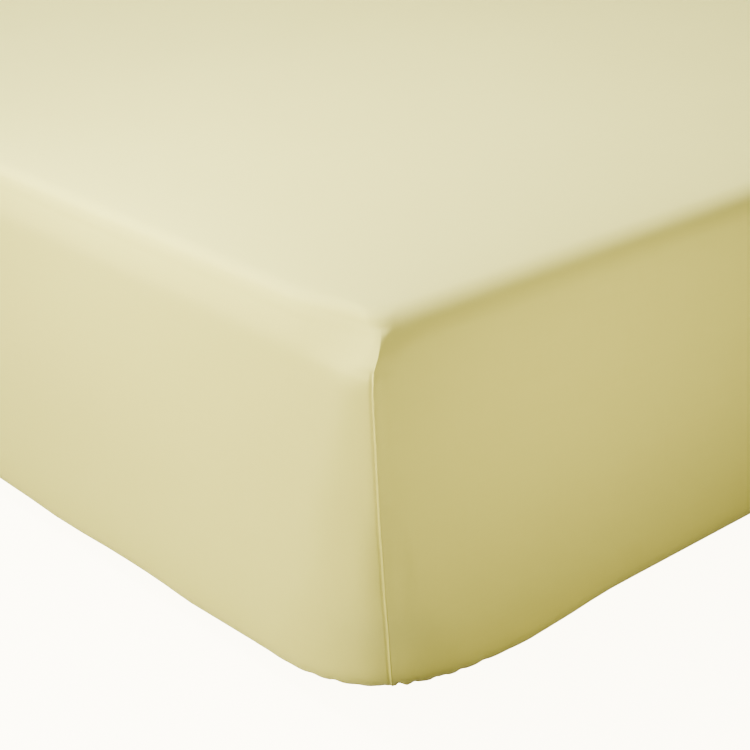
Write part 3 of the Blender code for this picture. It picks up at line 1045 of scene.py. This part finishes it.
def add_world(strength, seen):
    """Even light from all round, near-white where the camera sees it."""
    world = bpy.data.worlds.new("studio")
    bpy.context.scene.world = world
    world.use_nodes = True
    tree = world.node_tree
    tree.nodes.clear()
    inputs = {"Color": (1.0, 1.0, 1.0, 1.0), "Strength": strength}
    light = add_node(tree, "ShaderNodeBackground", inputs)
    backdrop = add_node(tree, "ShaderNodeBackground", {"Color": (*seen, 1.0)})
    seen_or_lit(tree, "ShaderNodeOutputWorld", light, backdrop)


def add_floor(seen, bounce):
    """A pale floor: near-white to the camera, with a faint shadow, and a dull bounce."""
    made = bpy.data.materials.new("pale floor")
    made.use_nodes = True
    tree = made.node_tree
    tree.nodes.clear()
    glow = add_node(tree, "ShaderNodeEmission", {"Color": (*seen, 1.0)})
    lit = add_node(tree, "ShaderNodeBsdfDiffuse", {"Color": (*[FLOOR_LIT] * 3, 1.0)})
    both = add_node(tree, "ShaderNodeAddShader", {0: glow, 1: lit})
    dull = add_node(tree, "ShaderNodeBsdfDiffuse", {"Color": (bounce, bounce, bounce, 1.0)})
    seen_or_lit(tree, "ShaderNodeOutputMaterial", dull, both)
    half = FLOOR_HALF_SIZE
    points = [(-half, -half, 0), (half, -half, 0), (half, half, 0), (-half, half, 0)]
    data = bpy.data.meshes.new("floor")
    data.from_pydata(points, [], [(0, 1, 2, 3)])
    data.materials.append(made)
    floor = add_object("floor", data)
    floor.location.z = FLOOR_HEIGHT


# --- The add-on ---


def tint(name, description, default):
    """A setting that holds a colour, or a light that may be brighter than white."""
    return FloatVectorProperty(
        name=name, description=description, subtype="COLOR", size=3, min=0.0, default=default
    )


def number(unit, name, description, default, **limits):
    """A setting that holds a number: a length in metres, a power in watts or a plain one."""
    return FloatProperty(
        name=name, description=description, unit=unit, default=default, **limits
    )


class FittedSheetSettings(PropertyGroup):
    """Sizes and colours of the fitted sheet."""

    cloth_color: tint("Cloth colour", "Colour of the sheet", (0.80, 0.735, 0.25))
    ticking_color: tint("Ticking colour", "Colour of the mattress cover", (0.80, 0.79, 0.75))
    sheen: number("NONE", "Sheen", "How much light the cloth's fibres catch", 0.15, min=0, max=1)
    thread_pitch: number("LENGTH", "Thread pitch", "From one thread to the next", 0.00035)
    thread_depth: number("LENGTH", "Thread depth", "Relief of the weave", 0.00002)
    crease_depth: number("LENGTH", "Creasing", "Relief of the cloth's slight creasing", 0.0003)
    stitch_spacing: number("LENGTH", "Stitch spacing", "From one stitch to the next", 0.0030)
    stitch_length: number("LENGTH", "Stitch length", "How much of a stitch shows", 0.0023)
    thread_thickness: number("LENGTH", "Thread thickness", "Thickness of sewing thread", 0.00035)


class StageSettings(PropertyGroup):
    """Light and floor."""

    key_power: number("POWER", "Key light", "The soft lamp high on the left", 244.0)
    top_power: number("POWER", "Top light", "The long lamp close over the foot edge", 3.5)
    front_power: number("POWER", "Front light", "The low lamp before the foot", 9.0)
    side_power: number("POWER", "Side light", "The low lamp beside the long side", 0.79)
    back_power: number("POWER", "Back light", "The soft lamp behind the head end", 55.0)
    high_color: tint("Colour of the high lamps", "Key and top lamps", (1.0, 1.04, 1.15))
    low_color: tint("Colour of the low lamps", "Front, side and back lamps", (1.0, 0.98, 0.77))
    fill: number("NONE", "Fill", "Strength of the even light from all round", 0, min=0)
    floor_color: tint("Floor", "How bright the floor and backdrop look", (3.6, 3.38, 2.70))
    floor_bounce: number(
        "NONE", "Floor bounce", "Share of light that the floor sends back", 0.42, min=0, max=1
    )


class FITTEDSHEET_OT_mattress(Operator):
    """Make the mattress"""

    bl_idname = "fittedsheet.mattress"
    bl_label = "Mattress"

    def execute(self, context):
        made = make_mattress(context.scene.fitted_sheet)
        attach(made, "root")
        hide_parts("mattress")
        return {"FINISHED"}


class FITTEDSHEET_OT_sheet(Operator):
    """Make the sheet"""

    bl_idname = "fittedsheet.sheet"
    bl_label = "Sheet"

    def execute(self, context):
        made = make_sheet(context.scene.fitted_sheet)
        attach(made, "root")
        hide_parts("fitted_sheet")
        return {"FINISHED"}


class FITTEDSHEET_OT_stitches(Operator):
    """Sew the corner seams and the hem"""

    bl_idname = "fittedsheet.stitches"
    bl_label = "Stitches"

    def execute(self, context):
        pieces = {
            "corner_seam_stitches": [seam_line(corner) for corner in CORNERS],
            "hem_stitches": [hem_line()],
        }
        for name, lines in pieces.items():
            made = stitches(name, lines, context.scene.fitted_sheet)
            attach(made, "root")
        return {"FINISHED"}


class FITTEDSHEET_OT_stage(Operator):
    """Set the floor, the light and the camera"""

    bl_idname = "fittedsheet.stage"
    bl_label = "Stage"

    def execute(self, context):
        stage = context.scene.fitted_sheet_stage
        add_camera()
        for row in LAMPS:
            add_lamp(row, stage)
        add_world(stage.fill, tuple(stage.floor_color))
        add_floor(tuple(stage.floor_color), stage.floor_bounce)
        view = context.scene.view_settings
        view.view_transform = "AgX"
        view.look = "AgX - High Contrast"
        view.exposure = 0.0
        return {"FINISHED"}


OPERATORS = (
    FITTEDSHEET_OT_mattress,
    FITTEDSHEET_OT_sheet,
    FITTEDSHEET_OT_stitches,
    FITTEDSHEET_OT_stage,
)


class FITTEDSHEET_PT_panel(Panel):
    """The fitted sheet's pieces"""

    bl_label = "Fitted Sheet"
    bl_idname = "FITTEDSHEET_PT_panel"
    bl_space_type = "VIEW_3D"
    bl_region_type = "UI"
    bl_category = "Fitted Sheet"

    def draw(self, context):
        for settings in (context.scene.fitted_sheet, context.scene.fitted_sheet_stage):
            for name in settings.__annotations__:
                self.layout.prop(settings, name)
        for operator in OPERATORS:
            self.layout.operator(operator.bl_idname)


CLASSES = (FittedSheetSettings, StageSettings, *OPERATORS, FITTEDSHEET_PT_panel)


def register():
    for each in CLASSES:
        bpy.utils.register_class(each)
    bpy.types.Scene.fitted_sheet = PointerProperty(type=FittedSheetSettings)
    bpy.types.Scene.fitted_sheet_stage = PointerProperty(type=StageSettings)


def unregister():
    del bpy.types.Scene.fitted_sheet_stage
    del bpy.types.Scene.fitted_sheet
    for each in reversed(CLASSES):
        bpy.utils.unregister_class(each)


def main():
    register()
    bpy.ops.fittedsheet.stage()
    bpy.ops.fittedsheet.mattress()
    bpy.ops.fittedsheet.sheet()
    bpy.ops.fittedsheet.stitches()


if __name__ == "__main__":
    main()
